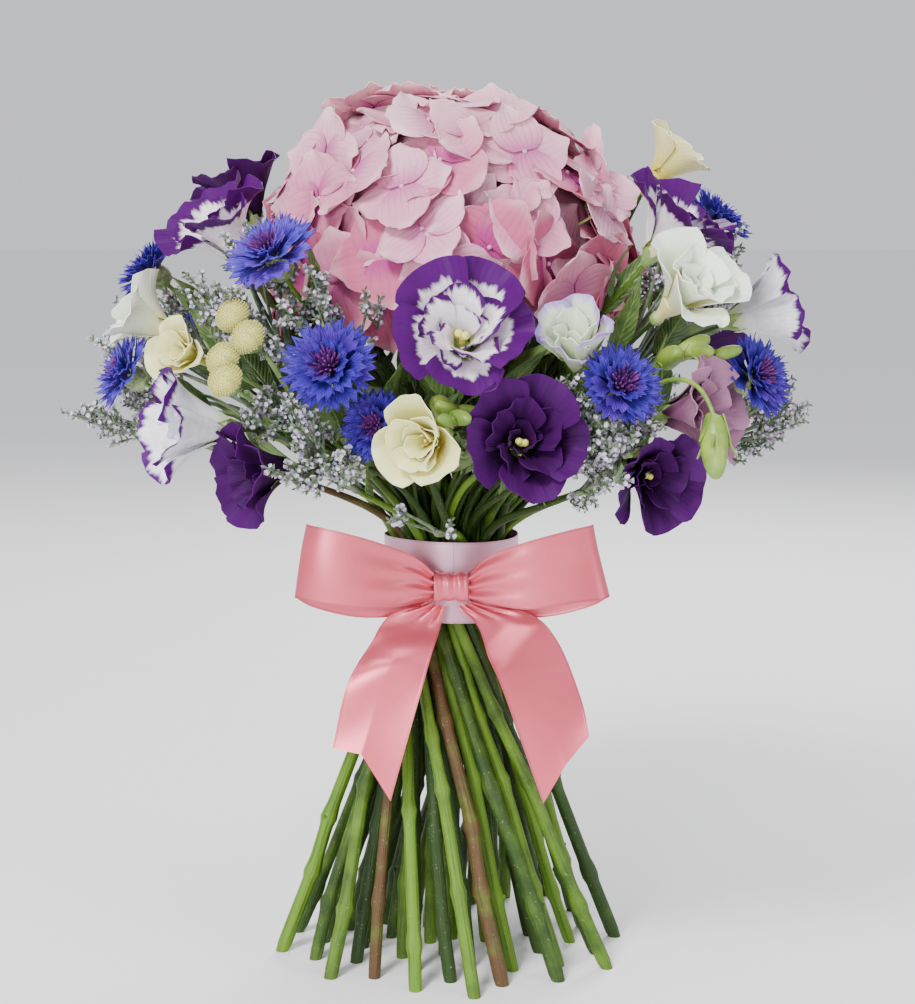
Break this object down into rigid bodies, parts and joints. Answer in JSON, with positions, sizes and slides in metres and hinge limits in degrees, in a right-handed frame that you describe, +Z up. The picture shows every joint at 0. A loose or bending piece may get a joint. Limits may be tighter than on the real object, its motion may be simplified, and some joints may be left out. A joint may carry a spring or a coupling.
{
  "type": "hydrangea bouquet",
  "caption": "Hand-tied posy of a hydrangea head ringed by cut flowers on spiralled stems, tied with a satin bow, standing on its own cut ends.",
  "frame": {"origin": "middle of the bouquet's box, on the level of the stems' cut ends", "axes": "+Z up along the tied stems, -Y is the side that the bow faces, +X to the bow's right as seen from the front"},
  "size_m": [0.3624, 0.3516, 0.4367],
  "materials": {
    "pink_sepals": "soft matte petal with veins",
    "bicolour": "soft matte petal with a coloured rim",
    "bicolour_bell": "soft matte petal with a coloured rim",
    "violet": "velvety dark petal",
    "half_open": "soft matte petal",
    "mauve": "soft matte petal",
    "cornflower": "matte ray florets",
    "deep_cornflower": "matte ray florets",
    "cream_freesia": "soft satin petal",
    "white_freesia": "soft satin petal",
    "button_yellow": "fine tubular florets",
    "statice": "papery florets on dry twigs",
    "bud_green": "smooth waxy bud",
    "stem_green": "smooth fibrous stem",
    "pale_band": "satin ribbon",
    "salmon_satin": "satin ribbon"
  },
  "bodies": {
    "root": {"bow_knot": "salmon_satin", "bow_loop_left": "salmon_satin", "bow_loop_right": "salmon_satin", "bow_tail_left": "salmon_satin", "bow_tail_right": "salmon_satin", "button_flowers": "button_yellow", "cornflower_back": "deep_cornflower", "cornflower_back_left": "cornflower", "cornflower_back_right": "cornflower", "cornflower_front": "cornflower", "cornflower_front_right": "deep_cornflower", "cornflower_left": "cornflower", "cornflower_left_crown": "cornflower", "cornflower_left_rim": "deep_cornflower", "cornflower_low": "deep_cornflower", "cornflower_right": "deep_cornflower", "cornflower_right_crown": "deep_cornflower", "freesia_back": "white_freesia", "freesia_buds_back": "bud_green", "freesia_buds_front": "bud_green", "freesia_buds_right": "bud_green", "freesia_crown": "cream_freesia", "freesia_front": "cream_freesia", "freesia_left": "white_freesia", "freesia_right": "white_freesia", "freesia_small": "cream_freesia", "hydrangea_head": "pink_sepals", "lisianthus_back": "bicolour", "lisianthus_back_left": "violet", "lisianthus_back_low": "bicolour_bell", "lisianthus_back_right": "violet", "lisianthus_bud": "bud_green", "lisianthus_front": "bicolour", "lisianthus_half_open": "half_open", "lisianthus_left": "bicolour_bell", "lisianthus_left_crown": "bicolour", "lisianthus_mauve": "mauve", "lisianthus_right": "bicolour_bell", "lisianthus_right_crown": "bicolour", "lisianthus_violet_front": "violet", "lisianthus_violet_left": "violet", "lisianthus_violet_right": "violet", "ribbon_band": "pale_band", "statice_back": "statice", "statice_back_left": "statice", "statice_back_low": "statice", "statice_back_right": "statice", "statice_front_sprig": "statice", "statice_left_crown": "statice", "statice_left_low": "statice", "statice_left_middle": "statice", "statice_left_rim": "statice", "statice_left_tip": "statice", "statice_middle": "statice", "statice_right_crown": "statice", "statice_right_low": "statice", "statice_right_tip": "statice", "stem_fan": "stem_green", "stems": "stem_green"}
  },
  "joints": []
}
